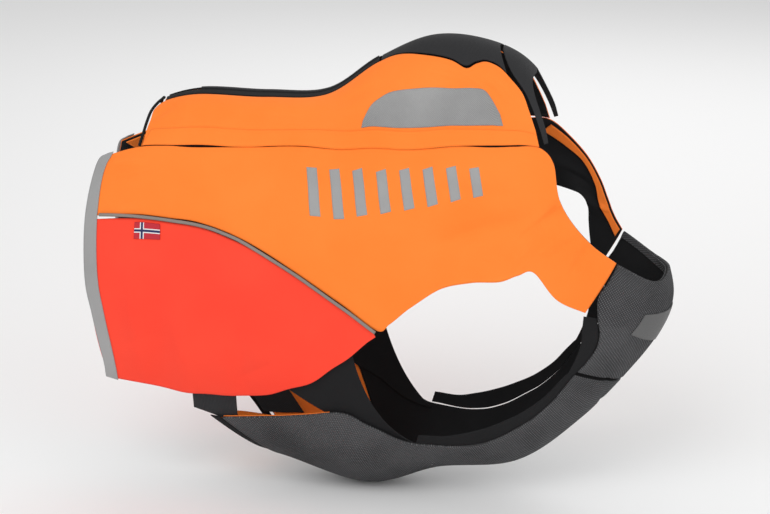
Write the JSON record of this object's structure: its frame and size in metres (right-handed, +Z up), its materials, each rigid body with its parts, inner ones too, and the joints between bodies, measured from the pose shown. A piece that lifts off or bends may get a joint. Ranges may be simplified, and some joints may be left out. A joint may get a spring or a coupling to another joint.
{
  "type": "dog hunting vest",
  "caption": "Close-fitting protective dog vest with zipped back, knit belly and chest, front-leg armholes and open neck.",
  "frame": {"origin": "inner side of the back seam over the withers, where the wearer's back holds the vest", "axes": "+X towards the neck, +Y to the dog's left, +Z up"},
  "size_m": [0.557, 0.1824, 0.4457],
  "materials": {
    "orange_cloth": "matte",
    "red_cloth": "matte",
    "black_cloth": "matte",
    "reflective_cloth": "satin",
    "mesh_cloth": "matte",
    "piping_cloth": "satin",
    "knit_cloth": "matte",
    "elastic_cloth": "matte",
    "flag_cloth": "satin"
  },
  "bodies": {
    "root": {"back_panel_right": "orange_cloth", "back_lining_right": "black_cloth", "seam_band_right": "orange_cloth", "mesh_patch_right": "mesh_cloth", "side_panel_right": "orange_cloth", "side_lining_right": "black_cloth", "flank_panel_right": "red_cloth", "flank_lining_right": "black_cloth", "piping_right": "piping_cloth", "hem_tape_right": "reflective_cloth", "zip_tape_right": "black_cloth", "armhole_binding_right": "black_cloth", "gusset_right": "black_cloth", "elastic_strap_right": "elastic_cloth", "back_panel_left": "orange_cloth", "back_lining_left": "black_cloth", "seam_band_left": "orange_cloth", "mesh_patch_left": "mesh_cloth", "side_panel_left": "orange_cloth", "side_lining_left": "black_cloth", "flank_panel_left": "red_cloth", "flank_lining_left": "black_cloth", "piping_left": "piping_cloth", "hem_tape_left": "reflective_cloth", "zip_tape_left": "black_cloth", "armhole_binding_left": "black_cloth", "gusset_left": "black_cloth", "elastic_strap_left": "elastic_cloth", "strap_turned_edge_left": "orange_cloth", "folded_corner_left": "orange_cloth", "flag_label": "flag_cloth", "rear_edge": "black_cloth", "zip_coil": "black_cloth", "withers_panel": "black_cloth", "neck_collar": "black_cloth", "belly_panel": "knit_cloth", "belly_facing": "orange_cloth", "belly_lining": "black_cloth", "belly_rear_edge": "black_cloth", "chest_panel": "knit_cloth", "chest_lining": "black_cloth", "chest_facing": "knit_cloth", "belly_tab_left": "orange_cloth", "chest_patch": "reflective_cloth"}
  },
  "joints": []
}
